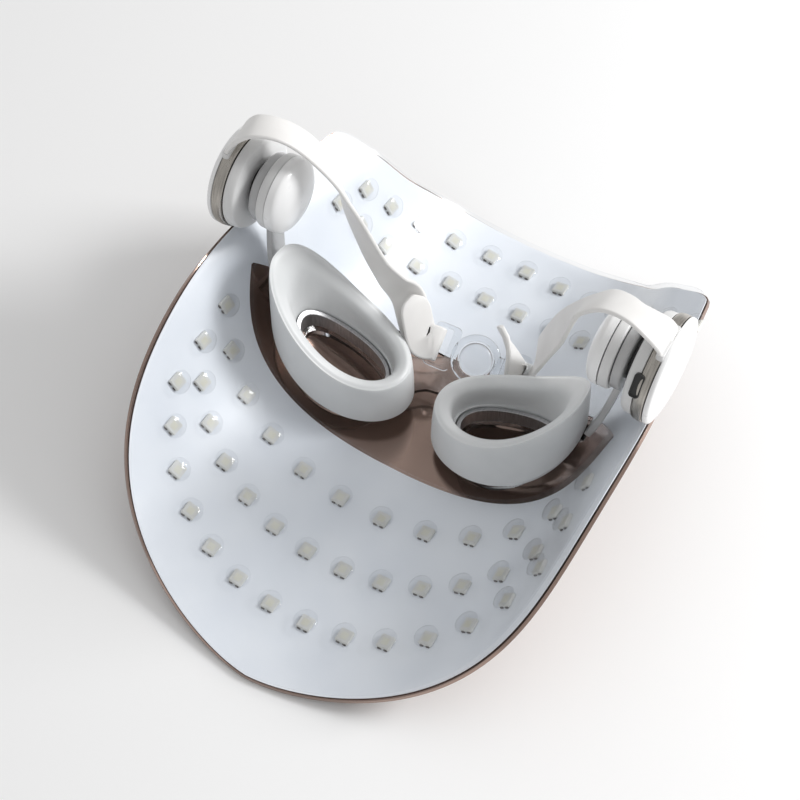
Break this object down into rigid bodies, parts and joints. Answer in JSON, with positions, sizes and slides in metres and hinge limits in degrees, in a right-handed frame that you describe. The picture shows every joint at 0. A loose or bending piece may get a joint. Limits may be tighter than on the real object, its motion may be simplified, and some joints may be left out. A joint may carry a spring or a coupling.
{
  "type": "led face mask",
  "caption": "Curved tinted shield with an LED-lined inner face, a pair of soft eye cups on tilting goggles, round side pods and an adjustable silicone head strap.",
  "frame": {"origin": "below the middle of the bounding box, on the surface that the shield lies on", "axes": "+X towards the side with the charging port, +Y from the chin to the forehead, +Z from the shield towards the wearer"},
  "size_m": [0.168, 0.2084, 0.109],
  "materials": {
    "bronze_tint": "tinted, mirror-coated clear polycarbonate",
    "white_board": "white flexible circuit sheet",
    "clear_plastic": "clear, glossy",
    "led_strip": "off-white chips on a white strip",
    "white_plastic": "white, satin",
    "champagne_metal": "champagne grey metallic",
    "light_grey_plastic": "light grey, satin",
    "steel": "turned",
    "black_plastic": "black",
    "grey_translucent": "translucent grey",
    "battery_wrap": "shrink wrap",
    "green_board": "printed circuit board",
    "silver_trim": "silver plating on plastic",
    "grey_silicone": "soft light grey silicone",
    "white_silicone": "soft warm white silicone"
  },
  "bodies": {
    "shield": {"outer_shell": "bronze_tint", "led_board": "white_board", "inner_liner": "clear_plastic", "led_strip_forehead": "led_strip", "led_strip_brow": "led_strip", "led_strip_cheek": "led_strip", "led_strip_jaw": "led_strip", "led_strip_chin": "led_strip", "pod_face_left": "white_plastic", "pod_rim_left": "champagne_metal", "pod_inner_cap_left": "light_grey_plastic", "pivot_shaft_left": "steel", "friction_washer_left": "black_plastic", "strap_left": "white_silicone", "pod_face_right": "white_plastic", "pod_rim_right": "champagne_metal", "pod_inner_cap_right": "light_grey_plastic", "pivot_shaft_right": "steel", "friction_washer_right": "black_plastic", "strap_right": "white_silicone", "usb_port": "black_plastic", "control_board": "green_board", "button_switch": "black_plastic", "buckle_body": "clear_plastic", "buckle_latch": "clear_plastic"},
    "goggles": {"goggle_frame": "clear_plastic", "eye_cup_left": "grey_silicone", "bezel_ring_left": "silver_trim", "temple_arm_left": "grey_translucent", "inner_pod_base_left": "grey_translucent", "inner_pod_rim_left": "light_grey_plastic", "inner_pod_dome_left": "white_plastic", "battery_cell_left": "battery_wrap", "eye_cup_right": "grey_silicone", "bezel_ring_right": "silver_trim", "temple_arm_right": "grey_translucent", "inner_pod_base_right": "grey_translucent", "inner_pod_rim_right": "light_grey_plastic", "inner_pod_dome_right": "white_plastic", "battery_cell_right": "battery_wrap"},
    "power_key": {"power_button": "silver_trim"},
    "buckle_key": {"buckle_button": "clear_plastic"}
  },
  "joints": [
    {"name": "goggle_tilt", "type": "hinge", "parent": "shield", "child": "goggles", "pos_m": [0, 0.02425, 0.0779], "axis": [-1, 0, 0], "range_deg": [0, 25]},
    {"name": "power_button_press", "type": "slide", "parent": "shield", "child": "power_key", "axis": [1, 0, 0], "range_m": [0, 0.0008], "stiffness_N_per_m": 1000},
    {"name": "buckle_button_press", "type": "slide", "parent": "shield", "child": "buckle_key", "axis": [-0.2851, 0.4791, -0.8302], "range_m": [0, 0.0015], "stiffness_N_per_m": 600}
  ]
}
